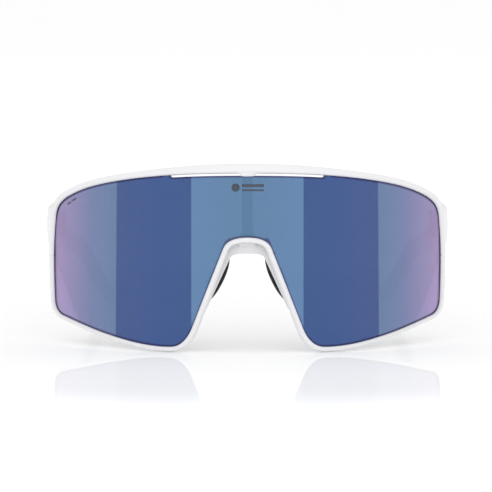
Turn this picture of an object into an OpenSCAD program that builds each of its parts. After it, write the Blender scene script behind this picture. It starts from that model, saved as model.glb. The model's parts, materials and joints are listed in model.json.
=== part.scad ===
// Wraparound shield sunglasses, standing on the lower rim and the temple tips.
// The front is drawn in its own upright frame: X across the face, Y to the back,
// Z up, with the lens face touching Y = 0 in the middle and its lowest edge at Z = 0.
// stand() then leans it back, sets it on Z = 0 and centres its depth on Y = 0.
// "left" and "right" are the wearer's: left is +X, right is -X.

/* [Lens] */
// Radius of the lens face
lens_r = 84; // [76:1:96]
// Width of the open lens, along its curve
lens_w = 161.6; // [130:0.2:194]
// Height from the lowest lens edge to the brow, in the middle
lens_h = 60.3; // [50:0.1:73]
// Thickness of the lens
lens_t = 2; // [1.6:0.1:2.4]
// Backward lean of the front when the glasses stand on a table, in degrees
lean = 6; // [4:0.5:8]

/* [Lens outline] */
// Fall of the brow from the middle to the start of the upper corner
brow_fall = 6.4; // [4:0.1:9]
// Width of the rounded upper corner
corner_w = 10.8; // [8:0.1:14]
// Height of the rounded upper corner
corner_h = 7.2; // [5:0.1:9]
// Height of the bottom end of the straight side
side_low = 16.4; // [13:0.1:20]
// Height of the lower edge where it leaves the side
cheek_high = 11; // [8:0.1:12]
// Distance of the lowest point of each lobe from the middle
lobe_x = 27; // [25:0.5:31]

/* [Nose arch] */
// Height of the arch
nose_h = 38; // [33:0.1:42]
// Width of the arch across its rounded shoulders
nose_top_w = 16.8; // [14:0.2:20]
// Width of the arch at its foot
nose_foot_w = 38.8; // [32.2:0.2:44]
// Height of the foot of the arch
nose_foot_h = 6.5; // [5:0.1:8]
// Height of its rounded shoulders
shoulder_h = 3.8; // [3:0.1:4.6]

/* [Rim] */
// How far the rim stands in front of the lens
rim_front = 1.35; // [1:0.05:1.8]
// How far the rim stands behind the lens
rim_back = 1.2; // [1:0.05:1.6]
// Depth of the groove that holds the lens
groove_d = 0.9; // [0.7:0.05:1.1]
// Play between the lens and its groove
lens_play = 0.12; // [0.08:0.02:0.2]
// Width of the brow in the middle
brow_w = 3.45; // [3:0.05:4.5]
// Width of the brow halfway to its corner
brow_arm_w = 2.35; // [2.1:0.05:3]
// Width of the rim at the upper corner
corner_rim_w = 2.9; // [2.4:0.05:3.5]
// Width of the rim at the side seam
side_rim_w = 2.6; // [2.2:0.05:3.2]
// Width of the rim under the lens
cheek_rim_w = 1.5; // [1.4:0.05:2.2]
// Width of the rim around the nose arch
arch_rim_w = 1.85; // [1.6:0.05:2.4]
// How much the outer face of the rim falls back from its ridge, per mm of width
face_fall = 0.25; // [0:0.05:0.3]
// Gap between the upper frame and the lower rim at each side seam
seam_gap = 0.1; // [0.06:0.02:0.2]
// Radius of the pins that locate the lower rim
seam_pin_r = 0.4; // [0.3:0.05:0.5]
// Length of those pins
seam_pin_l = 5; // [4:0.5:7]

/* [Brow vents] */
// Height of the vent slots between the brow and the lens
vent_h = 0.8; // [0.5:0.05:1]
// Distance of the outer ends of the vents from the middle
vent_end = 27; // [20:0.5:32]
// Run of their slanted outer ends
vent_slant = 1.7; // [0.8:0.1:2]
// Width of the tab between the vents, where it leaves the brow
tab_w = 6.2; // [5:0.1:9]
// How far the tab laps over the front of the lens
tab_lap = 0.3; // [0.2:0.1:1.2]
// Thickness of the tab
tab_t = 0.9; // [0.7:0.05:1.2]

/* [End pieces] */
// Height of the hinge line above the lowest lens edge
hinge_z = 43.7; // [38:0.1:46]
// Height of the end piece
end_h = 11.4; // [10:0.1:13]
// Reach of the end piece behind the edge of the lens
end_reach = 10.6; // [9:0.1:14]
// Thickness of the end piece and of the root of the temple
end_t = 4.3; // [3.6:0.1:5]
// How far the end piece stands outside the rim
end_proud = 0.7; // [0.4:0.1:1.2]
// Gap between the end piece and the temple
end_gap = 0.4; // [0.3:0.05:0.8]

/* [Hinges] */
// Outer radius of the hinge knuckles
knuckle_r = 1.6; // [1.4:0.05:1.95]
// Height of the whole stack of knuckles
knuckle_h = 9; // [7.5:0.5:9.5]
// Axial play beside the middle knuckle
knuckle_play = 0.1; // [0.06:0.02:0.2]
// Air between the knuckles and the plastic they turn beside
knuckle_air = 0.2; // [0.15:0.05:0.4]
// Radius of the hinge screw
screw_r = 0.7; // [0.6:0.05:0.8]
// Running clearance of the hinge screw, on the radius
screw_play = 0.05; // [0.02:0.01:0.08]
// Thickness of the hinge leaves
leaf_t = 1.2; // [1:0.1:1.4]
// Length of the hinge leaves
leaf_l = 6.5; // [5:0.5:7]

/* [Temples] */
// Length of the temple from the end piece to the bend behind the ear
temple_l = 88; // [75:1:105]
// Height of the temple just before its tip
temple_h = 6.8; // [5.5:0.1:8]
// Thickness of the temple just before its tip
temple_t = 3.2; // [2.6:0.1:3.8]
// Inward bow of the temple at the ear bend
temple_bow = 6.5; // [4:0.5:9]
// Length from the ear bend to the end of the tip
tip_l = 38; // [30:1:45]
// Angle of the ear bend
ear_bend = 25; // [15:1:35]
// Radius of the ear bend
ear_bend_r = 28; // [20:1:40]
// Further inward curl of the tip at its end
tip_curl = 3.4; // [0:0.2:5]
// Height of the soft tip
tip_h = 8; // [7:0.1:9]
// Thickness of the soft tip
tip_t = 4.2; // [3.6:0.1:5]
// Length of the soft tip in front of the ear bend
tip_lead = 10; // [6:1:20]
// Radius of the wire core
core_r = 0.75; // [0.6:0.05:0.9]

/* [Nose piece] */
// Width of the post behind the lens
post_w = 3.7; // [3.2:0.1:5]
// Width of the post where it meets the saddle
post_foot_w = 5.5; // [4.6:0.1:7]
// Width of the head of the post behind the brow
post_head_w = 6.4; // [5.6:0.1:8]
// Depth of the post, front to back
post_d = 2.85; // [2.4:0.05:3.4]
// Depth of the saddle plate, front to back
saddle_d = 2.4; // [2:0.1:3]
// How far the saddle shows below the top of the arch
saddle_drop = 3.7; // [2.5:0.1:5]
// Width of the space under the saddle, at its upper corners
saddle_w = 12.2; // [10:0.2:15]
// How far the lower ends of its legs show inside the sides of the arch
leg_lap = 0.5; // [0.3:0.05:1]
// Height of the lower ends of the legs
leg_low = 14; // [11:0.5:18]
// Length of the nose pads
pad_l = 20; // [16:0.5:22]
// Width of the nose pads
pad_w = 7.6; // [6.6:0.1:8.4]
// Thickness of the nose pads
pad_t = 2.4; // [2.2:0.1:2.8]
// How far the middle of the pads lies behind the barrel's axis
pad_back = 2; // [1:0.1:2.6]
// Curve of the nose pads along their length
pad_curve = 1.2; // [0.8:0.1:2]
// Height of the middle of the nose pads
pad_z = 24.5; // [21:0.5:27]
// Splay of the nose pads, front to back, in degrees
pad_splay = 25; // [18:1:30]
// Slope of the nose pads, seen from the front, in degrees
pad_slope = 26; // [22:1:30]
// Radius of the wire that carries each pad
pad_wire_r = 0.6; // [0.5:0.05:0.65]
// Running clearance of that wire in its barrel, on the radius
pad_wire_play = 0.05; // [0.02:0.01:0.08]
// Outer radius of the barrel
barrel_r = 1.2; // [1.1:0.05:1.3]
// Length of the barrel
barrel_l = 6; // [4:0.5:7]
// Distance from the back of the saddle to the barrel's axis
barrel_off = 1.9; // [1.6:0.1:2.4]
// Distance from the barrel's axis to the middle of the pad
pad_off = 3.2; // [3.1:0.1:3.6]

/* [Hidden] */
$fn = 48;

white = [0.93, 0.93, 0.93];
soft_white = [0.86, 0.87, 0.88];
mirror_blue = [0.32, 0.46, 0.66];
pad_black = [0.05, 0.05, 0.05];
steel = [0.62, 0.63, 0.65];

deg = 180 / PI;
half_w = lens_w / 2;
seam_z = 0.537 * lens_h;            // the seams sit a little above mid height
corner_tuck = 1.3;                  // the side starts this far in, under the corner
side_tuck = 0.7;                    // and ends this far in, at its foot
cheek_tuck = 6.1;                   // where the lower edge leaves the side
lobe_more = 0.15;                   // the rim is this much wider under each lobe
seat_in = -lens_t - lens_play;      // radial place of the groove's rear wall
seat_out = lens_play;               // and of its front wall
rim_rear = -lens_t - rim_back;      // and of the back of the rim
lens_bite = groove_d - lens_play;   // how far the lens sits in the groove

// ---- curves -----------------------------------------------------------------

function smooth(x) = let (t = min(1, max(0, x))) t * t * (3 - 2 * t);
function mirrored(pts) = [for (p = pts) [-p[0], p[1], -p[2], p[3], p[4]]];
function reversed(list) = [for (i = [len(list) - 1:-1:0]) list[i]];
function flip2(pts) = [for (p = reversed(pts)) [-p[0], p[1]]];

// A knot is [distance from the middle along the lens, height, heading, rim width].
// Between two knots the edge is a cubic that leaves and arrives on their headings.
function along(k) = [cos(k[2]), sin(k[2])];
function reach(a, b) = norm([b[0] - a[0], b[1] - a[1]]) / (3 * pow(cos((b[2] - a[2]) / 4), 2));
function pull_points(a, b) = let (h = reach(a, b))
    [[a[0], a[1]], [a[0], a[1]] + h * along(a), [b[0], b[1]] - h * along(b), [b[0], b[1]]];
function cubic(p, t) = let (s = 1 - t)
    s * s * s * p[0] + 3 * s * s * t * p[1] + 3 * s * t * t * p[2] + t * t * t * p[3];
function slope(p, t) = let (s = 1 - t)
    s * s * (p[1] - p[0]) + 2 * s * t * (p[2] - p[1]) + t * t * (p[3] - p[2]);

// A station is [u, z, outward u, outward z, rim width] on the edge of the lens.
function station(a, b, t) = let (p = pull_points(a, b), q = cubic(p, t), d = slope(p, t))
    [q[0], q[1], -d[1] / norm(d), d[0] / norm(d), a[3] + (b[3] - a[3]) * smooth(t)];
function run(knots, counts) = [
    for (i = [0:len(knots) - 2], j = [0:counts[i] - 1]) station(knots[i], knots[i + 1], j / counts[i]),
    station(knots[len(knots) - 2], knots[len(knots) - 1], 1)];
function shifted(st, d) = [st[0] + d * st[2], st[1] + d * st[3]];

brow_knots = [
    [0, lens_h, 0, brow_w],
    [0.557 * half_w, lens_h - 0.28 * brow_fall, -6.2, brow_arm_w],
    [half_w - corner_w, lens_h - brow_fall, -17.8, brow_arm_w],
    [half_w - corner_tuck, lens_h - brow_fall - corner_h, -80, corner_rim_w],
    [half_w, seam_z + seam_gap / 2, -90, side_rim_w]];
cheek_x = half_w - cheek_tuck;
lobe_knot = [lobe_x, 0, -180, cheek_rim_w + lobe_more];
rim_knots = [
    [half_w, seam_z - seam_gap / 2, -90, side_rim_w],
    [half_w - side_tuck, side_low, -95, 0.7 * side_rim_w],
    [cheek_x, cheek_high, -164.5, cheek_rim_w],
    [(cheek_x + lobe_x) / 2, 0.364 * cheek_high, -165.3, cheek_rim_w],
    lobe_knot];
arch_slope = atan2(nose_h - shoulder_h - nose_foot_h, (nose_foot_w - nose_top_w) / 2);
arch_knots = [
    lobe_knot,
    [nose_foot_w / 2, nose_foot_h, -180 - arch_slope, arch_rim_w],
    [nose_top_w / 2, nose_h - shoulder_h, -180 - arch_slope, arch_rim_w],
    [0, nose_h, -180, arch_rim_w]];

brow_half = run(brow_knots, [12, 10, 11, 13]);
cheek_half = run(rim_knots, [7, 8, 8, 9]);
arch_half = run(arch_knots, [8, 8, 9]);
under_half = concat(cheek_half, [for (i = [1:len(arch_half) - 1]) arch_half[i]]);

brow_path = concat(reversed(mirrored([for (i = [1:len(brow_half) - 1]) brow_half[i]])), brow_half);
under_path = concat(under_half, reversed(mirrored([for (i = [0:len(under_half) - 2]) under_half[i]])));

// A point on the lens cylinder, u along the curve, z up, r outward from the face.
function on_lens(u, z, r) = let (a = u / lens_r * deg)
    [(lens_r + r) * sin(a), lens_r - (lens_r + r) * cos(a), z];

// ---- skins ------------------------------------------------------------------

// Triangles between one ring of n points and the next.
function band(i, n) = [for (j = [0:n - 1]) let (k = (j + 1) % n, a = i * n, b = a + n)
    each [[a + j, a + k, b + k], [a + j, b + k, b + j]]];
function fan(ids) = [for (i = [1:len(ids) - 2]) [ids[0], ids[i + 1], ids[i]]];
function turned(faces) = [for (f = faces) [f[2], f[1], f[0]]];
function plus(ids, n) = [for (i = ids) i + n];

// A closed skin over rings; caps are lists of convex loops that fill the end rings.
module skin(rings, caps) {
    n = len(rings[0]);
    last = (len(rings) - 1) * n;
    polyhedron(
        points = [for (ring = rings) each ring],
        faces = concat(
            [for (i = [0:len(rings) - 2]) each band(i, n)],
            [for (loop = caps) each fan(loop)],
            [for (loop = caps) each turned(fan(plus(loop, last)))]),
        convexity = 6);
}
function whole(n) = [[for (i = [0:n - 1]) i]];

// A flat plate that faces forwards, with its front at y.
module face_plate(y, d, pts) {
    translate([0, y + d, 0]) rotate([90, 0, 0]) linear_extrude(height = d) polygon(pts);
}

// ---- rims -------------------------------------------------------------------

// Section of the rim: a channel, open towards the lens, [across, outward]. Its front
// rises to a ridge and falls back from there, so a wide brow shows two faces.
soft = 0.25;
function bevel(w) = min(1.1, 0.42 * w);
function shoulder(w) = rim_front - face_fall * (w - 3 * soft - bevel(w));
function channel(w) = [
    [0, seat_out], [0, 0.45 * rim_front], [0.35 * bevel(w), rim_front - soft], [bevel(w), rim_front],
    [w - 3 * soft, shoulder(w)], [w - soft, shoulder(w) - soft], [w, shoulder(w) - 3 * soft],
    [w, rim_rear + 3 * soft], [w - soft, rim_rear + soft], [w - 3 * soft, rim_rear],
    [3 * soft, rim_rear], [soft, rim_rear + soft], [0, rim_rear + 2 * soft],
    [0, seat_in], [groove_d, seat_in], [groove_d, seat_out]];
channel_caps = [[0, 1, 2, 3, 4, 5, 6, 15], [15, 6, 7, 14], [14, 7, 8, 9, 10, 11, 12, 13]];
function rim_ring(st) = [for (c = channel(st[4]))
    on_lens(st[0] + c[0] * st[2], st[1] + c[0] * st[3], c[1])];

// The end pieces grow out of the back of the upper frame at hinge height.
rim_edge = on_lens(half_w + side_rim_w, 0, rim_front);
lens_edge = on_lens(half_w, 0, 0);
end_out = rim_edge[0] + end_proud;
end_in = end_out - end_t;
end_y = lens_edge[1] + end_reach;
end_fade = 4.6;                     // height of the blend above and below the end piece
end_start = 6;                      // it starts this far in from the lens's edge
end_blend = 5;                      // and is whole after this much more
end_back = [
    [end_out, end_y - 3 * soft], [end_out - soft, end_y - soft], [end_out - 3 * soft, end_y],
    [end_in + 3 * soft, end_y], [end_in + soft, end_y - soft], [end_in, end_y - 3 * soft]];
function end_share(u, z) =
    smooth((z - hinge_z + end_h / 2 + end_fade) / end_fade)
    * smooth((hinge_z + end_h / 2 + end_fade - z) / end_fade)
    * smooth((abs(u) - half_w + end_start) / end_blend);
function upper_ring(st) = let (ring = rim_ring(st), c = channel(st[4])) [
    for (i = [0:len(ring) - 1])
        i < 7 || i > 12 ? ring[i]
        : let (q = end_back[i - 7], s = sign(st[0]), e = end_share(st[0] + c[i][0] * st[2], ring[i][2]))
            [ring[i][0] + e * (s * q[0] - ring[i][0]), ring[i][1] + e * (q[1] - ring[i][1]), ring[i][2]]];

tab_root = 0.8;                     // the tab reaches this far up into the brow
tab_slant = 0.9;                    // and each of its sides runs in this much
tab_foot_t = 0.35;                  // it thins to this at its foot

// Holds the top of the lens in the middle, between the two vents.
module vent_tab() {
    top = lens_h + tab_root;
    low = lens_h - vent_h - tab_lap;
    foot = tab_w / 2 - tab_slant;
    half = [
        [foot, low], [foot + 0.4 * tab_slant, lens_h - vent_h],
        [tab_w / 2, lens_h], [tab_w / 2, top]];
    intersection() {
        face_plate(-seat_out - tab_t, tab_t, concat(half, flip2(half)));
        // its front falls back towards the lens
        translate([-tab_w / 2, -seat_out, 0]) rotate([90, 0, 90]) linear_extrude(height = tab_w)
            polygon([[0, low], [0, top], [-tab_t, top], [-tab_t, lens_h], [-tab_foot_t, low]]);
    }
}

module upper_frame() {
    color(white) stand() {
        skin([for (st = brow_path) upper_ring(st)], channel_caps);
        vent_tab();
    }
}

module lower_rim() {
    color(white) stand() skin([for (st = under_path) rim_ring(st)], channel_caps);
}

module seam_pins() {
    across = (groove_d + side_rim_w) / 2;
    color(steel) stand() for (s = [-1, 1])
        translate(on_lens(s * (half_w + across), seam_z, -lens_t / 2))
            cylinder(r = seam_pin_r, h = seam_pin_l, center = true);
}

// ---- lens -------------------------------------------------------------------

top_edge = [for (st = brow_half) shifted(st, lens_bite)];
open_edge = [for (st = brow_half) shifted(st, 0)];
low_edge = [for (st = under_half) shifted(st, lens_bite)];
edge_play = 0.03;
lens_u = half_w + lens_bite - edge_play;
function vented(u) = lookup(u, open_edge) - vent_h;
function lens_top(u) = let (full = lookup(u, top_edge), s = (u - vent_end) / vent_slant)
    s >= 1 ? full : s <= 0 ? vented(u) : vented(u) + s * (full - vented(u));
function lens_low(u) = lookup(u, low_edge);
arch_cols = 42;
side_cols = 34;
fine_u = lobe_x + 1.5;
half_cols = concat(
    [for (i = [0:arch_cols - 1]) fine_u * i / arch_cols],
    [for (i = [0:side_cols]) fine_u + (lens_u - fine_u) * sin(90 * i / side_cols)]);
cols = concat(reversed([for (i = [1:len(half_cols) - 1]) -half_cols[i]]), half_cols);
function lens_ring(u) = let (hi = lens_top(abs(u)), lo = lens_low(abs(u)))
    [on_lens(u, lo, 0), on_lens(u, hi, 0), on_lens(u, hi, -lens_t), on_lens(u, lo, -lens_t)];

module lens() {
    color(mirror_blue) stand() skin([for (u = cols) lens_ring(u)], whole(4));
}

// ---- nose piece -------------------------------------------------------------

arch_from = (leg_low - nose_foot_h) / (nose_h - shoulder_h - nose_foot_h);
leg_knot = [nose_foot_w / 2 + arch_from * (nose_top_w - nose_foot_w) / 2, leg_low,
            -180 - arch_slope, arch_rim_w];
saddle_run = run([leg_knot, arch_knots[2], arch_knots[3]], [2, 10]);
saddle_out = [for (st = saddle_run) shifted(st, 0.2)];
saddle_low = nose_h - arch_rim_w - saddle_drop;
leg_end = shifted(saddle_run[0], arch_rim_w + leg_lap);
leg_top = [saddle_w / 2, saddle_low - 1.7];
leg_turn = atan2(leg_top[1] - leg_end[1], leg_end[0] - leg_top[0]);
saddle_in = [for (st = run([
    [leg_end[0], leg_end[1], -180 - leg_turn, 0],
    [leg_top[0], leg_top[1], -180 - leg_turn, 0],
    [leg_top[0] - 2.4, saddle_low - 0.2, -188, 0],
    [0, saddle_low, -180, 0]], [2, 6, 3])) shifted(st, 0)];
saddle_outline = concat(saddle_out, flip2([for (i = [0:len(saddle_out) - 2]) saddle_out[i]]),
    reversed(flip2([for (i = [0:len(saddle_in) - 2]) saddle_in[i]])), reversed(saddle_in));

saddle_air = 0.15;                  // gap between the rim and the nose piece behind it
post_y = lens_t + rim_back + saddle_air;
head_h = 2;                         // height of the post's head, behind the brow
post_top = lens_h + 0.6 + head_h;
saddle_y = on_lens(leg_knot[0], 0, rim_rear)[1] + saddle_air;
peg_r = 0.8;                        // the peg that hangs the post on the brow
peg_l = 1.5;
peg_root = 0.5;                     // how deep it starts inside the post
pivot_in = 0.2;                     // the barrels sit this far inside the edge of the arch
arch_rise = (pad_z - nose_foot_h) / (nose_h - shoulder_h - nose_foot_h);
pad_pivot = [nose_foot_w / 2 + arch_rise * (nose_top_w - nose_foot_w) / 2 - pivot_in,
             saddle_y + saddle_d + barrel_off, pad_z];

// Places its children at the pad pivot: -Z down the pad, +Y across it, -X to the nose.
module at_pad() {
    translate(pad_pivot) rotate([0, -pad_slope, 0]) rotate([0, 0, -pad_splay]) children();
}

module post() {
    half = [
        [post_foot_w / 2, nose_h - 3], [post_foot_w / 2, nose_h + 0.3], [post_w / 2, nose_h + 2.4],
        [post_w / 2, post_top - head_h - 0.9], [post_head_w / 2, post_top - head_h + 0.1],
        [post_head_w / 2, post_top]];
    face_plate(post_y, post_d, concat(half, flip2(half)));
    translate([0, post_y + peg_root, post_top - head_h / 2])
        rotate([90, 0, 0]) cylinder(r = peg_r, h = peg_l + peg_root);
}

// Carries the barrel on the back of the leg.
module lug() {
    lug_t = 1.6 * barrel_r;
    root = barrel_off + 0.3;
    lug_l = barrel_l - 1;
    translate(pad_pivot) rotate([0, -pad_slope, 0])
        translate([-lug_t / 2, -root, -lug_l / 2]) cube([lug_t, root, lug_l]);
}

module nose_bridge() {
    color(white) stand() difference() {
        union() {
            post();
            face_plate(saddle_y, saddle_d, saddle_outline);
            for (s = [0, 1]) mirror([s, 0, 0]) {
                at_pad() cylinder(r = barrel_r, h = barrel_l, center = true);
                lug();
            }
        }
        for (s = [0, 1]) mirror([s, 0, 0]) at_pad()
            cylinder(r = pad_wire_r + pad_wire_play, h = barrel_l + 6, center = true);
    }
}

// A staple of wire: the long side turns in the barrel, both ends are buried in the pad.
module nose_wire() {
    arm_z = barrel_l / 2 + pad_wire_r + 0.4;
    color(steel) at_pad() {
        cylinder(r = pad_wire_r, h = 2 * arm_z, center = true);
        for (s = [-1, 1]) translate([0, 0, s * arm_z]) {
            sphere(r = pad_wire_r);
            rotate([0, -90, 0]) cylinder(r = pad_wire_r, h = pad_off);
        }
    }
}

pad_sides = 16;
pad_steps = 12;
function pad_ring(t) = let (
        k = sqrt(max(0.0001, 1 - pow(abs(t), 3))), mid = pad_curve * t * t - pad_off) [
    for (j = [0:pad_sides - 1]) let (a = 360 * j / pad_sides)
        [mid + k * pad_t / 2 * cos(a), pad_back - k * pad_w / 2 * sin(a), pad_l / 2 * t]];

module nose_pad() {
    color(pad_black) at_pad()
        skin([for (i = [-pad_steps:pad_steps]) pad_ring(0.999 * sin(90 * i / pad_steps))],
            whole(pad_sides));
}

// ---- hinges -----------------------------------------------------------------

axis_x = end_in - knuckle_r - knuckle_air;
axis_y = end_y + end_gap / 2;
third = knuckle_h / 3;

module on_axis() {
    translate([axis_x, axis_y, hinge_z]) children();
}

leaf_from = 0.5;                    // the leaves start this far beyond the knuckles
arm_l = knuckle_r + leaf_from + 0.1;

module knuckle(lo, hi) {
    translate([0, 0, lo]) cylinder(r = knuckle_r, h = hi - lo);
    // the arm that joins the knuckle to its leaf
    translate([-knuckle_r / 2, -arm_l, lo])
        cube([knuckle_r / 2 + end_in - axis_x, arm_l, hi - lo]);
}

module screw_bore() {
    cylinder(r = screw_r + screw_play, h = knuckle_h + 2, center = true);
}

leaf_proud = 0.15;                  // the leaves stand this far into the plastic beside them
leaf_x = end_in - axis_x - leaf_t + leaf_proud;
module hinge_front() {
    color(steel) on_axis() difference() {
        union() {
            knuckle(-knuckle_h / 2, -third / 2 - knuckle_play);
            knuckle(third / 2 + knuckle_play, knuckle_h / 2);
            translate([leaf_x, -knuckle_r - leaf_from - leaf_l, -knuckle_h / 2])
                cube([leaf_t, leaf_l, knuckle_h]);
        }
        screw_bore();
    }
}

module hinge_rear() {
    color(steel) on_axis() difference() {
        union() {
            mirror([0, 1, 0]) knuckle(-third / 2, third / 2);
            translate([leaf_x, knuckle_r + leaf_from, -knuckle_h / 2])
                cube([leaf_t, leaf_l, knuckle_h]);
        }
        screw_bore();
    }
}

module hinge_screw() {
    cap_h = 0.8;
    slot_w = 0.4;
    color(steel) on_axis() difference() {
        union() {
            translate([0, 0, -knuckle_h / 2]) cylinder(r = screw_r, h = knuckle_h);
            translate([0, 0, knuckle_h / 2]) cylinder(r = knuckle_r - 0.3, h = cap_h);
        }
        translate([0, 0, knuckle_h / 2 + cap_h]) cube([2 * knuckle_r, slot_w, cap_h], center = true);
    }
}

// ---- temples ----------------------------------------------------------------

temple_x = end_out - end_t / 2;
temple_y = end_y + end_gap;
bend_half = ear_bend / deg * ear_bend_r / 2;
bend_from = temple_l - bend_half;
temple_end = temple_l + tip_l;
tip_from = temple_l - tip_lead;

// Downward angle and place of the temple's middle line, at s along it, for a temple
// that leaves the end piece p degrees down.
function dip(s, p) = p + ear_bend * min(1, max(0, (s - bend_from) / (2 * bend_half)));
function drop(s, p) = let (
        m = min(s, bend_from), q = dip(s, p), rest = max(0, s - bend_from - 2 * bend_half))
    m * [cos(p), -sin(p)]
    + ear_bend_r * [sin(q) - sin(p), cos(q) - cos(p)]
    + rest * [cos(q), -sin(q)];
function inward(s) = temple_bow * pow(s / temple_l, 2)
    + tip_curl * pow(max(0, s - bend_from) / (temple_end - bend_from), 2);
function yaw(s) = atan((inward(s + 0.5) - inward(max(0, s - 0.5))) / (s < 0.5 ? 0.5 + s : 1));
function temple_mid(s, p) = let (d = drop(s, p)) [temple_x - inward(s), temple_y + d[0], hinge_z + d[1]];
function temple_ring(s, p, h, t, sides, power) = let (
        m = temple_mid(s, p), q = dip(s, p) * smooth(s / 8), w = yaw(s),
        across = [cos(w), sin(w) * cos(q), -sin(w) * sin(q)], up = [0, sin(q), cos(q)])
    [for (j = [0:sides - 1]) let (a = 360 * (j + 0.5) / sides, c = cos(a), b = sin(a))
        m + across * (t / 2 * sign(c) * pow(abs(c), power))
            + up * (h / 2 * sign(b) * pow(abs(b), power))];

temple_sides = 16;
arm_square = 0.45;                  // 1 is an oval section, and less is squarer
tip_square = 0.7;
function taper(s) = pow(max(0, 1 - s / temple_l), 2);
function arm_ring(s, p) = temple_ring(s, p, temple_h + (end_h - temple_h) * taper(s),
    temple_t + (end_t - temple_t) * taper(s), temple_sides, arm_square);
tip_round = 4.5;
tip_lip = 1.2;
butt_gap = 0.05;                    // between the end of the temple and the soft tip
function tip_share(s) = let (
        e = (s - temple_end + tip_round) / tip_round, f = 1 - (s - tip_from) / tip_lip)
    e > 0 ? sqrt(max(0.0009, 1 - e * e)) : f > 0 ? 0.93 + 0.07 * sqrt(1 - f * f) : 1;
function tip_ring(s, p) = let (k = tip_share(s))
    temple_ring(s, p, k * tip_h, k * tip_t, temple_sides, tip_square);
tip_stops = concat(
    [for (i = [0:3]) tip_from + tip_lip * (1 - cos(30 * i))],
    [for (i = [1:14]) tip_from + tip_lip + (temple_end - tip_round - tip_from - tip_lip) * i / 14],
    [for (i = [1:6]) temple_end - tip_round + tip_round * sin(15 * i)]);

// Height of a point over the table once the front leans back, before it is set down.
function leaned(p) = [p[0], p[1] * cos(lean) + p[2] * sin(lean), p[2] * cos(lean) - p[1] * sin(lean)];
function low_of(rings) = min([for (r = rings, p = r) leaned(p)[2]]);
function back_of(rings) = max([for (r = rings, p = r) leaned(p)[1]]);
function front_of(rings) = min([for (r = rings, p = r) leaned(p)[1]]);
table_z = low_of([for (st = under_half) rim_ring(st)]);
front_y = front_of([for (st = concat(under_half, brow_half)) rim_ring(st)]);

// The temple leaves the end piece at the angle that brings its tip down to the table.
function tip_low(p) = low_of([for (i = [12:len(tip_stops) - 1]) tip_ring(tip_stops[i], p)]);
function settle(lo, hi, n) = let (mid = (lo + hi) / 2)
    n == 0 ? mid : tip_low(mid) > table_z ? settle(mid, hi, n - 1) : settle(lo, mid, n - 1);
temple_dip = settle(-10, 25, 20);
rear_y = back_of([for (s = tip_stops) tip_ring(s, temple_dip)]);

module stand() {
    translate([0, -(front_y + rear_y) / 2, -table_z]) rotate([-lean, 0, 0]) children();
}

module temple() {
    steps = 26;
    to = tip_from - butt_gap;
    color(white) skin([for (i = [0:steps]) arm_ring(to * i / steps, temple_dip)], whole(temple_sides));
}

module temple_tip() {
    color(soft_white) skin([for (s = tip_stops) tip_ring(s, temple_dip)], whole(temple_sides));
}

core_lead = 18;                     // the wire starts this far ahead of the soft tip
core_short = 8;                     // and stops this far short of its end

module temple_core() {
    from = tip_from - core_lead;
    to = temple_end - core_short;
    steps = 24;
    color(steel) skin([for (i = [0:steps])
        temple_ring(from + (to - from) * i / steps, temple_dip, 2 * core_r, 2 * core_r, 8, 1)], whole(8));
}

module left() {
    stand() children();
}

module right() {
    stand() mirror([1, 0, 0]) children();
}

upper_frame();
lower_rim();
seam_pins();
lens();
nose_bridge();
right() nose_wire();  // nose_wire_right
left() nose_wire();  // nose_wire_left
right() nose_pad();  // nose_pad_right
left() nose_pad();  // nose_pad_left
right() hinge_front();  // hinge_front_right
left() hinge_front();  // hinge_front_left
right() hinge_screw();  // hinge_screw_right
left() hinge_screw();  // hinge_screw_left
right() hinge_rear();  // hinge_rear_right
left() hinge_rear();  // hinge_rear_left
right() temple();  // temple_right
left() temple();  // temple_left
right() temple_core();  // temple_core_right
left() temple_core();  // temple_core_left
right() temple_tip();  // temple_tip_right
left() temple_tip();  // temple_tip_left
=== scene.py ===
"""Wraparound shield sunglasses, standing on their lower rim and temple tips.

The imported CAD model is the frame. The pieces that show are finished copies of its
nodes, smoothed and detailed, and every one rides on the body that its node belongs to.
X runs across the face, Y to the back, Z up, all in metres.
"""

import json
import math

import bmesh
import bpy
from mathutils import Matrix, Vector
from mathutils.bvhtree import BVHTree

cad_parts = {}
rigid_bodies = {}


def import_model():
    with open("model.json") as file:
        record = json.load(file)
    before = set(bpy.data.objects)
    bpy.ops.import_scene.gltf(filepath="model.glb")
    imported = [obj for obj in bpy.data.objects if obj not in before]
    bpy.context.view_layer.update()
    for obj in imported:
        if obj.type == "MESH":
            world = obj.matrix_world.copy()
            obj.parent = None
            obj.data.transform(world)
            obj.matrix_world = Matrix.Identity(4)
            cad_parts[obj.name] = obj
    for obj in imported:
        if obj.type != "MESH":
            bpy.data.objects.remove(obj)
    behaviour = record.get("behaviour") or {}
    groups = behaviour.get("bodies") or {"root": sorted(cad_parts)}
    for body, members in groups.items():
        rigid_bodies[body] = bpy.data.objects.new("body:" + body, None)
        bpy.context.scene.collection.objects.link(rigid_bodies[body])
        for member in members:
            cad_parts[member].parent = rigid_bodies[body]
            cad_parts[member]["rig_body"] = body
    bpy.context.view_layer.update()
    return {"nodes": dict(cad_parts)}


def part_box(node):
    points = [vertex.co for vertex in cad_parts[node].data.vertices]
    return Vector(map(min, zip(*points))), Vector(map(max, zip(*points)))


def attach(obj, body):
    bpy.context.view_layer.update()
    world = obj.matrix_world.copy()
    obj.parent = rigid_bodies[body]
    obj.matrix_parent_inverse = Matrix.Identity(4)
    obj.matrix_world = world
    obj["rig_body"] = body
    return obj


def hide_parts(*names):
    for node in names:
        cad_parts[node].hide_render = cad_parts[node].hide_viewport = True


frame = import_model()

MM = 0.001
SIDES = ("right", "left")

# ---- sizes, in metres, and angles --------------------------------------------

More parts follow.
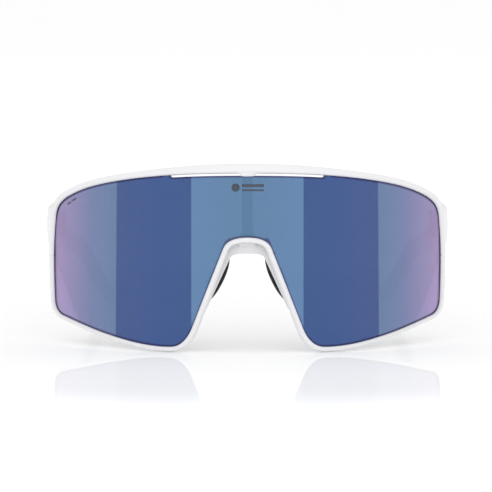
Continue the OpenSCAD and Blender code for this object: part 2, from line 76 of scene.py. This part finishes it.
LENS_LOW, LENS_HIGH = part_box("lens")
LENS_BITE = 0.8 * MM                    # how far the rim covers the edge of the lens
SHADE_LINE_FULL_TO = LENS_BITE + 0.3 * MM          # the painted shade line beside the rim, standing in for the rim's shadow on the lens, is full up to here, and gone from here, both from the lens's edge
SHADE_LINE_GONE_FROM = LENS_BITE + 0.9 * MM       # and gone from here, both from the lens's edge
VENT_END = 28.3 * MM                    # the rim leaves the top of the lens free to here
SIDE_TURN = 1.75                        # length along the curve per length across, at the sides
LEAN_MIN = 0.42                         # cosine of an edge's steepest slope, at the nose arch
FACET_MIN = 0.2 * MM * MM               # front faces under this size belong to the lens's edge
COLUMN = 0.02 * MM                      # points of the lens this near in X stand in one column
UV_UNIT = 0.1                           # metres in one unit of the lens's UV map
INK_T = 0.03 * MM                       # the printed marks stand this far off the lens

WELD = 0.002 * MM                       # points nearer than this are one
CAGE_TURN = 62                          # degrees: a smoothed piece stays sharp past this turn
CAGE_LEVELS = 2
LENS_TURN = 30                          # the same for the lens
EASE_TURN = 40                          # and the turn past which an edge is eased

FRONT = Vector((0, LENS_LOW.y, 0))      # the floor under the foremost point of the lens
FLOOR_R = 30.0
CARD_R = 1.2                            # the cards stand this far round the front of the lens
CARD_TOP = 1.6
LIGHT_TOP = 0.8
BAND = math.radians(29), math.radians(70)       # azimuths where a dark card starts and ends
SIDE_END = math.radians(150)            # and where the pale card after it ends

AIM = Vector((0, -80.3, 37.1)) * MM     # what the camera looks at
EYE_AWAY = 1250 * MM
EYE_RISE = math.radians(5)
FOCAL, SENSOR = 263.05, 36              # millimetres
SHIFT_X = -0.0028


# ---- shader building ---------------------------------------------------------

class Value:
    """A number that varies over a surface. Arithmetic on it adds Math nodes."""

    def __init__(self, finish, socket):
        self.finish = finish
        self.socket = socket

    def math(self, operation, first, second=0.0):
        return self.finish.math(operation, first, second)

    def __add__(self, other):
        return self.math("ADD", self, other)

    def __radd__(self, other):
        return self.math("ADD", other, self)

    def __sub__(self, other):
        return self.math("SUBTRACT", self, other)

    def __rsub__(self, other):
        return self.math("SUBTRACT", other, self)

    def __mul__(self, other):
        return self.math("MULTIPLY", self, other)

    def __rmul__(self, other):
        return self.math("MULTIPLY", other, self)

    def __abs__(self):
        return self.math("ABSOLUTE", self)


class Finish:
    """A material under construction, on the piece's own Object coordinates."""

    def __init__(self, name):
        self.material = bpy.data.materials.new(name)
        self.material.use_nodes = True
        self.tree = self.material.node_tree
        self.shader = self.tree.nodes["Principled BSDF"]
        self.place = self.node("ShaderNodeTexCoord", output="Object")

    def connect(self, socket, value):
        if isinstance(value, Value):
            self.tree.links.new(value.socket, socket)
        else:
            socket.default_value = value

    def node(self, kind, settings=None, sockets=None, output=0):
        """Adds a node: its settings first, then its sockets' values or links."""
        made = self.tree.nodes.new(kind)
        for key, setting in (settings or {}).items():
            if key == "stops":
                self.set_stops(made.color_ramp, setting)
            else:
                setattr(made, key, setting)
        for key, value in (sockets or {}).items():
            self.connect(made.inputs[key], value)
        return Value(self, made.outputs[output])

    @staticmethod
    def set_stops(ramp, stops):
        while len(ramp.elements) < len(stops):
            ramp.elements.new(0.5)
        for element, (position, colour) in zip(ramp.elements, stops):
            element.position = position
            element.color = (*colour, 1)

    def set(self, **values):
        """Sets the shader's sockets; an underscore stands for a space."""
        for key, value in values.items():
            label = key.replace("_", " ").title().replace("Ior", "IOR")
            self.connect(self.shader.inputs[label], value)
        return self

    def stretched(self, scale):
        return self.node("ShaderNodeMapping", sockets={"Vector": self.place, "Scale": scale})

    def noise(self, per_metre, detail, vector=None):
        """Soft noise from 0 to 1 with that many cells in a metre."""
        return self.node("ShaderNodeTexNoise", sockets={
            "Vector": vector or self.place, "Scale": per_metre, "Detail": detail})

    def math(self, operation, first, second=0.0):
        return self.node("ShaderNodeMath", {"operation": operation}, {0: first, 1: second})

    def blend(self, share, first, second):
        """A colour between two; each is a plain colour or a varying one."""
        return self.node("ShaderNodeMix", {"data_type": "RGBA"}, {
            "Factor": share, 6: self.colour(first), 7: self.colour(second)}, output=2)

    @staticmethod
    def colour(value):
        return value if isinstance(value, Value) else (*value, 1)

    def bump(self, height, depth, strength):
        return self.node("ShaderNodeBump", sockets={
            "Height": height, "Distance": depth, "Strength": strength}, output="Normal")


# ---- finishes ----------------------------------------------------------------

def white_nylon():
    f = Finish("white_nylon")
    cloud = f.noise(60, 3)
    grain = f.noise(5200, 2)
    return f.set(
        base_color=f.blend(cloud, (0.76, 0.76, 0.77), (0.79, 0.79, 0.80)),
        roughness=0.24 + 0.1 * grain + 0.06 * cloud,
        normal=f.bump(grain, 0.006 * MM, 0.5),
        coat_weight=0.15, coat_roughness=0.08).material


def pad_rubber():
    f = Finish("black_pad_rubber")
    grain = f.noise(3000, 3)
    bloom = f.noise(140, 2)
    return f.set(
        base_color=f.blend(bloom, (0.010, 0.010, 0.011), (0.018, 0.018, 0.019)),
        roughness=0.5 + 0.2 * grain,
        normal=f.bump(grain, 0.03 * MM, 0.6)).material


def tip_rubber():
    f = Finish("pale_tip_rubber")
    grain = f.noise(3600, 3)
    bloom = f.noise(90, 3)
    return f.set(
        base_color=f.blend(bloom, (0.60, 0.615, 0.63), (0.68, 0.69, 0.70)),
        roughness=0.5 + 0.2 * grain,
        normal=f.bump(grain, 0.02 * MM, 0.7)).material


def bright_steel():
    f = Finish("bright_steel")
    streaks = f.noise(900, 4, f.stretched((1, 1, 9)))
    stain = f.noise(500, 2)
    return f.set(
        base_color=f.blend(stain, (0.52, 0.52, 0.53), (0.66, 0.66, 0.67)),
        metallic=1.0,
        roughness=0.2 + 0.2 * streaks,
        normal=f.bump(streaks, 0.006 * MM, 0.6)).material


def mirror_coat():
    """The reflecting blue coat. Towards the sides of the lens it turns violet; that violet is
    painted, standing in for the coat's change of colour at a slanting view. A thin dark line
    beside the rim is painted shade, standing in for the rim's shadow on the lens. The UV map
    holds the distances from the lens's lower and upper edges, in decimetres."""
    f = Finish("blue_mirror_coat")
    across = f.node("ShaderNodeSeparateXYZ", sockets={0: f.place}, output="X")
    away = abs(across) * (1 / LENS_HIGH.x)
    edges = f.node("ShaderNodeUVMap", {"uv_map": "edges"}, output="UV")
    lower = f.node("ShaderNodeSeparateXYZ", sockets={0: edges}, output="X")
    upper = f.node("ShaderNodeSeparateXYZ", sockets={0: edges}, output="Y")
    nearest = f.math("MINIMUM", f.math("MINIMUM", lower, upper),
                     (LENS_HIGH.x - abs(across)) * (SIDE_TURN / UV_UNIT))
    # share of the coat's own colour: it falls to 0.1 inside the painted shade line beside the
    # rim
    clear = f.node("ShaderNodeMapRange", {"interpolation_type": "SMOOTHSTEP"}, {
        "Value": nearest, "From Min": SHADE_LINE_FULL_TO / UV_UNIT, "From Max": SHADE_LINE_GONE_FROM / UV_UNIT,
        "To Min": 0.1, "To Max": 1.0})
    haze = f.noise(45, 2)
    # the coat's own blue by the centre; the violet towards the sides is painted, standing in
    # for the coat's colour change at a slanting view
    coat_tint_and_painted_violet = f.node("ShaderNodeValToRGB", {"stops": [
        (0.0, (0.110, 0.213, 0.352)),
        (0.45, (0.125, 0.225, 0.43)),
        (0.66, (0.150, 0.232, 0.40)),
        (0.80, (0.205, 0.240, 0.43)),
        (1.0, (0.40, 0.295, 0.52))]}, {0: away})
    return f.set(
        # painted shade: the dark violet colour near the rim stands in for the rim's shadow on
        # the lens
        base_color=f.blend(clear, (0.055, 0.05, 0.14), coat_tint_and_painted_violet),
        metallic=0.86,
        roughness=0.02 + 0.02 * haze,
        ior=1.58,
        transmission_weight=1.0).material


def smoke_lens():
    f = Finish("smoke_polycarbonate")
    flow = f.noise(30, 2)
    return f.set(
        base_color=f.blend(flow, (0.16, 0.19, 0.24), (0.19, 0.22, 0.27)),
        roughness=0.02 + 0.02 * flow,
        ior=1.58,
        transmission_weight=1.0).material


def mark_ink():
    f = Finish("mark_ink")
    print_grain = f.noise(4000, 2)
    return f.set(
        base_color=f.blend(print_grain, (0.045, 0.055, 0.08), (0.06, 0.07, 0.10)),
        roughness=0.4 + 0.1 * print_grain).material


# ---- piece building ----------------------------------------------------------

def welded(node):
    """A bmesh of a CAD node with its loose triangles merged into faces."""
    bm = bmesh.new()
    bm.from_mesh(frame["nodes"][node].data)
    bmesh.ops.remove_doubles(bm, verts=bm.verts, dist=WELD)
    bmesh.ops.dissolve_degenerate(bm, edges=bm.edges, dist=WELD / 2)
    return bm


def join_pairs(bm):
    """Turns pairs of triangles back into four-sided faces."""
    bmesh.ops.join_triangles(bm, faces=bm.faces, angle_face_threshold=math.radians(12),
                             angle_shape_threshold=math.radians(60))


def rejoin(bm):
    """Puts the triangles of flat and of gently twisted faces back together."""
    bmesh.ops.dissolve_limit(bm, angle_limit=math.radians(0.3), verts=bm.verts,
                             edges=bm.edges, use_dissolve_boundaries=False)
    join_pairs(bm)


def crease_turns(bm, over):
    """Creases every edge where the surface turns by more than over degrees."""
    crease = bm.edges.layers.float.new("crease_edge")
    for edge in bm.edges:
        if edge.is_manifold and edge.calc_face_angle() > math.radians(over):
            edge[crease] = 1.0


def as_object(bm, name, *materials):
    """Turns a bmesh into an object of the scene."""
    mesh = bpy.data.meshes.new(name)
    bm.to_mesh(mesh)
    bm.free()
    for material in materials:
        mesh.materials.append(material)
    made = bpy.data.objects.new(name, mesh)
    bpy.context.scene.collection.objects.link(made)
    return made


def placed(bm, name, node, slot, *materials):
    """Turns a bmesh into a finished piece that rides on a CAD node's body."""
    for face in bm.faces:
        face.smooth = True
    made = as_object(bm, name, *materials)
    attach(made, frame["nodes"][node]["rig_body"])
    return made


def piece(bm, name, node, slot, *materials):
    """A finished piece that also stands in for that node."""
    made = placed(bm, name, node, slot, *materials)
    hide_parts(node)
    return made


def keep_edges_sharp(made, over):
    made.data.set_sharp_from_angle(angle=math.radians(over))


def smoothed(name, node, slot, material):
    """A moulded piece whose CAD rings become the cage of a smooth surface."""
    bm = welded(node)
    rejoin(bm)
    crease_turns(bm, CAGE_TURN)
    made = piece(bm, name, node, slot, material)
    finer = made.modifiers.new("finer", "SUBSURF")
    finer.levels = finer.render_levels = CAGE_LEVELS
    keep_edges_sharp(made, CAGE_TURN)
    return made


def eased(name, node, slot, material, width, segments=2):
    """A piece with flat faces, whose sharp edges get a bevel of that width."""
    bm = welded(node)
    bmesh.ops.dissolve_limit(bm, angle_limit=math.radians(0.5), verts=bm.verts, edges=bm.edges)
    made = piece(bm, name, node, slot, material)
    ease = made.modifiers.new("ease", "BEVEL")
    ease.width = width
    ease.segments = segments
    ease.limit_method = "ANGLE"
    ease.angle_limit = math.radians(EASE_TURN)
    ease.harden_normals = True
    keep_edges_sharp(made, EASE_TURN)


def lean_of(edge, at):
    """The cosine of the slope of a row of points along the lens's edge, at one of them."""
    before, after = edge[max(0, at - 1)], edge[min(len(edge) - 1, at + 1)]
    step = after - before
    return max(LEAN_MIN, step.xy.length / max(step.length, 1e-6))


def looks_forward(face):
    return face.normal.y < -0.4 and abs(face.normal.z) < 0.3 and face.calc_area() > FACET_MIN


def map_edges(bm):
    """Gives the corners of the lens's front their distances from its lower and upper
    edges, and the front its own material."""
    # these distances place the painted shade line beside the rim, in mirror_coat
    layer = bm.loops.layers.uv.new("edges")
    front = [face for face in bm.faces if looks_forward(face)]
    corners = {vert for face in front for vert in face.verts}
    columns = {}
    for vert in corners:
        columns.setdefault(round(vert.co.x / COLUMN), []).append(vert)
    pairs = [(min(col, key=lambda v: v.co.z), max(col, key=lambda v: v.co.z))
             for _, col in sorted(columns.items())]
    low_edge = [low.co for low, _ in pairs]
    high_edge = [high.co for _, high in pairs]
    places = {}
    for at, (low, high) in enumerate(pairs):
        tall = (high.co - low.co).length / UV_UNIT
        vented = abs(low.co.x) < VENT_END
        over_vent = LENS_BITE / UV_UNIT if vented else 0.0
        high_lean = 1.0 if vented else lean_of(high_edge, at)
        places[low] = (0.0, tall * high_lean + over_vent)
        places[high] = (tall * lean_of(low_edge, at), over_vent)
    for face in front:
        face.material_index = 1
        for loop in face.loops:
            loop[layer].uv = places.get(loop.vert, (1.0, 1.0))


def build_lens():
    bm = welded("lens")
    join_pairs(bm)
    map_edges(bm)
    made = piece(bm, "shield", "lens", "lens", smoke_lens(), mirror_coat())
    keep_edges_sharp(made, LENS_TURN)


def print_on_lens(name, *shapes):
    """Thin ink shapes laid on the front of the lens. Each is a kind, its middle's X and
    Z, its width and height, all in millimetres, and its turn in degrees."""
    under = welded("lens")
    front = BVHTree.FromBMesh(under)
    under.free()
    bm = bmesh.new()
    for kind, x, z, width, height, turn in shapes:
        upright = (Matrix.Translation(Vector((x, 0, z)) * MM)
                   @ Matrix.Rotation(-math.radians(turn), 4, "Y")
                   @ Matrix.Rotation(math.pi / 2, 4, "X")
                   @ Matrix.Diagonal((width / 2 * MM, height / 2 * MM, 1, 1)))
        if kind == "disc":
            bmesh.ops.create_circle(bm, cap_ends=True, segments=32, radius=1, matrix=upright)
        else:
            bmesh.ops.create_grid(bm, x_segments=8, y_segments=2, size=1, matrix=upright)
    for vert in bm.verts:
        before = Vector((vert.co.x, -1, vert.co.z))
        place, normal, _, _ = front.ray_cast(before, Vector((0, 1, 0)))
        vert.co = place + INK_T * normal
    bmesh.ops.solidify(bm, geom=bm.faces, thickness=1.5 * INK_T)
    bmesh.ops.recalc_face_normals(bm, faces=bm.faces)
    placed(bm, name, "lens", "lens", mark_ink())


# ---- the pieces --------------------------------------------------------------

NYLON = white_nylon()
STEEL = bright_steel()
PAD = pad_rubber()
TIP = tip_rubber()

smoothed("brow_frame", "upper_frame", "frame", NYLON)
smoothed("under_rim", "lower_rim", "frame", NYLON)
build_lens()
print_on_lens(
    "brow_mark",
    ("disc", -4.1, 57.4, 2.8, 2.8, 0),
    ("bar", 1.9, 58.1, 7.6, 1.0, 0),
    ("bar", 1.9, 56.5, 7.6, 0.6, 0))
print_on_lens(
    "corner_mark",
    ("bar", -63.3, 49.9, 1.5, 0.5, 38),
    ("bar", -61.5, 51.3, 1.9, 0.5, 34))
eased("nose_saddle", "nose_bridge", "frame", NYLON, 0.25 * MM, segments=3)
eased("side_pins", "seam_pins", "steel", STEEL, 0.08 * MM)
for side in SIDES:
    smoothed("arm_" + side, "temple_" + side, "frame", NYLON)
    smoothed("ear_grip_" + side, "temple_tip_" + side, "tip", TIP)
    smoothed("pad_" + side, "nose_pad_" + side, "pad", PAD)
    for part, ease in (("front_", 0.12), ("rear_", 0.12), ("screw_", 0.06)):
        eased("joint_" + part + side, "hinge_" + part + side, "steel", STEEL, ease * MM)
    for node in ("nose_wire_", "temple_core_"):
        wire = frame["nodes"][node + side].data
        wire.materials.clear()
        wire.materials.append(STEEL)


# ---- floor, light and camera -------------------------------------------------

def card_paint(name, glow):
    """A card that shines evenly and takes no light."""
    f = Finish(name)
    drift = f.noise(3, 2)
    return f.set(base_color=(0, 0, 0, 1), roughness=1.0, specular_ior_level=0.0,
                 emission_color=f.blend(drift, glow, [0.99 * c for c in glow]),
                 emission_strength=1.0).material


def floor_polish():
    """White board, polished where the glasses stand and matt further off."""
    f = Finish("white_board")
    gone = f.node("ShaderNodeVectorMath", {"operation": "LENGTH"}, {0: f.place}, output="Value")
    polish = f.node("ShaderNodeMapRange", {"interpolation_type": "SMOOTHSTEP"}, {
        "Value": gone, "From Min": 180 * MM, "From Max": 270 * MM,
        "To Min": 0.27, "To Max": 0.0})
    drift = f.noise(3, 2)
    paint = f.node("ShaderNodeBsdfDiffuse", sockets={
        "Color": f.blend(drift, (0.95, 0.95, 0.95), (0.94, 0.94, 0.94))}, output="BSDF")
    glow = f.node("ShaderNodeEmission", sockets={"Strength": 0.21}, output="Emission")
    board = f.node("ShaderNodeAddShader", sockets={0: paint, 1: glow})
    gloss = f.node("ShaderNodeBsdfGlossy", sockets={"Roughness": 0.035}, output="BSDF")
    both = f.node("ShaderNodeMixShader", sockets={0: polish, 1: board, 2: gloss})
    f.tree.links.new(both.socket, f.tree.nodes["Material Output"].inputs["Surface"])
    return f.material


def build_floor():
    bm = bmesh.new()
    bmesh.ops.create_circle(bm, cap_ends=True, segments=96, radius=FLOOR_R)
    floor = as_object(bm, "floor", floor_polish())


def build_card(name, start, end, top, glow, lights=False):
    """A curved card round the front of the lens, up from the floor, from one azimuth to
    another. It either lights the object or shows in its reflections."""
    bm = bmesh.new()
    foot = bm.verts.new(FRONT + CARD_R * Vector((math.sin(start), -math.cos(start), 0)))
    bmesh.ops.spin(bm, geom=[foot], cent=FRONT, axis=(0, 0, 1), angle=end - start, steps=24,
                   use_duplicate=False)
    wall = bmesh.ops.extrude_edge_only(bm, edges=bm.edges)["geom"]
    bmesh.ops.translate(bm, vec=(0, 0, top),
                        verts=[v for v in wall if isinstance(v, bmesh.types.BMVert)])
    card = as_object(bm, name, card_paint(name, glow))
    card.visible_camera = False
    card.visible_diffuse = lights
    card.visible_glossy = not lights
    card.visible_shadow = False
    card.visible_transmission = False


def build_lamp(name, place, target, size, power):
    lamp = bpy.data.lights.new(name, "AREA")
    lamp.shape = "RECTANGLE"
    lamp.size, lamp.size_y = size
    lamp.energy = power
    made = bpy.data.objects.new(name, lamp)
    made.location = place
    made.rotation_euler = (Vector(target) - Vector(place)).to_track_quat("-Z", "Y").to_euler()
    bpy.context.scene.collection.objects.link(made)


def build_world(strength):
    world = bpy.data.worlds.new("studio")
    world.use_nodes = True
    back = world.node_tree.nodes["Background"]
    back.inputs["Color"].default_value = (1, 1, 1, 1)
    back.inputs["Strength"].default_value = strength
    bpy.context.scene.world = world


def build_camera():
    """Square on to the front, from a little above it."""
    view = bpy.data.cameras.new("front_view")
    view.sensor_width = SENSOR
    view.lens = FOCAL
    view.shift_x = SHIFT_X
    view.clip_start, view.clip_end = 0.05, 100
    eye = bpy.data.objects.new("front_view", view)
    bpy.context.scene.collection.objects.link(eye)
    away = EYE_AWAY * Vector((0, -math.cos(EYE_RISE), math.sin(EYE_RISE)))
    eye.location = AIM + away
    eye.rotation_euler = (-away).to_track_quat("-Z", "Y").to_euler()
    bpy.context.scene.camera = eye


build_floor()
for side, turn in zip(SIDES, (-1, 1)):
    build_card("dark_card_" + side, turn * BAND[0], turn * BAND[1], CARD_TOP,
               glow=(0.43, 0.45, 0.68))
    build_card("side_card_" + side, turn * BAND[1], turn * SIDE_END, CARD_TOP,
               glow=(1.0, 1.0, 1.0))
build_card("front_card", -BAND[0], BAND[0], CARD_TOP, glow=(1.15, 1.15, 1.15))
build_card("front_light", -BAND[1], BAND[1], LIGHT_TOP, glow=(1.4, 1.4, 1.4), lights=True)
build_lamp("top_light", place=(0, -0.1, 1.6), target=(0, 0, 0), size=(1.6, 1.6), power=4)
build_world(strength=0.82)
build_camera()
bpy.context.scene.view_settings.view_transform = "Standard"
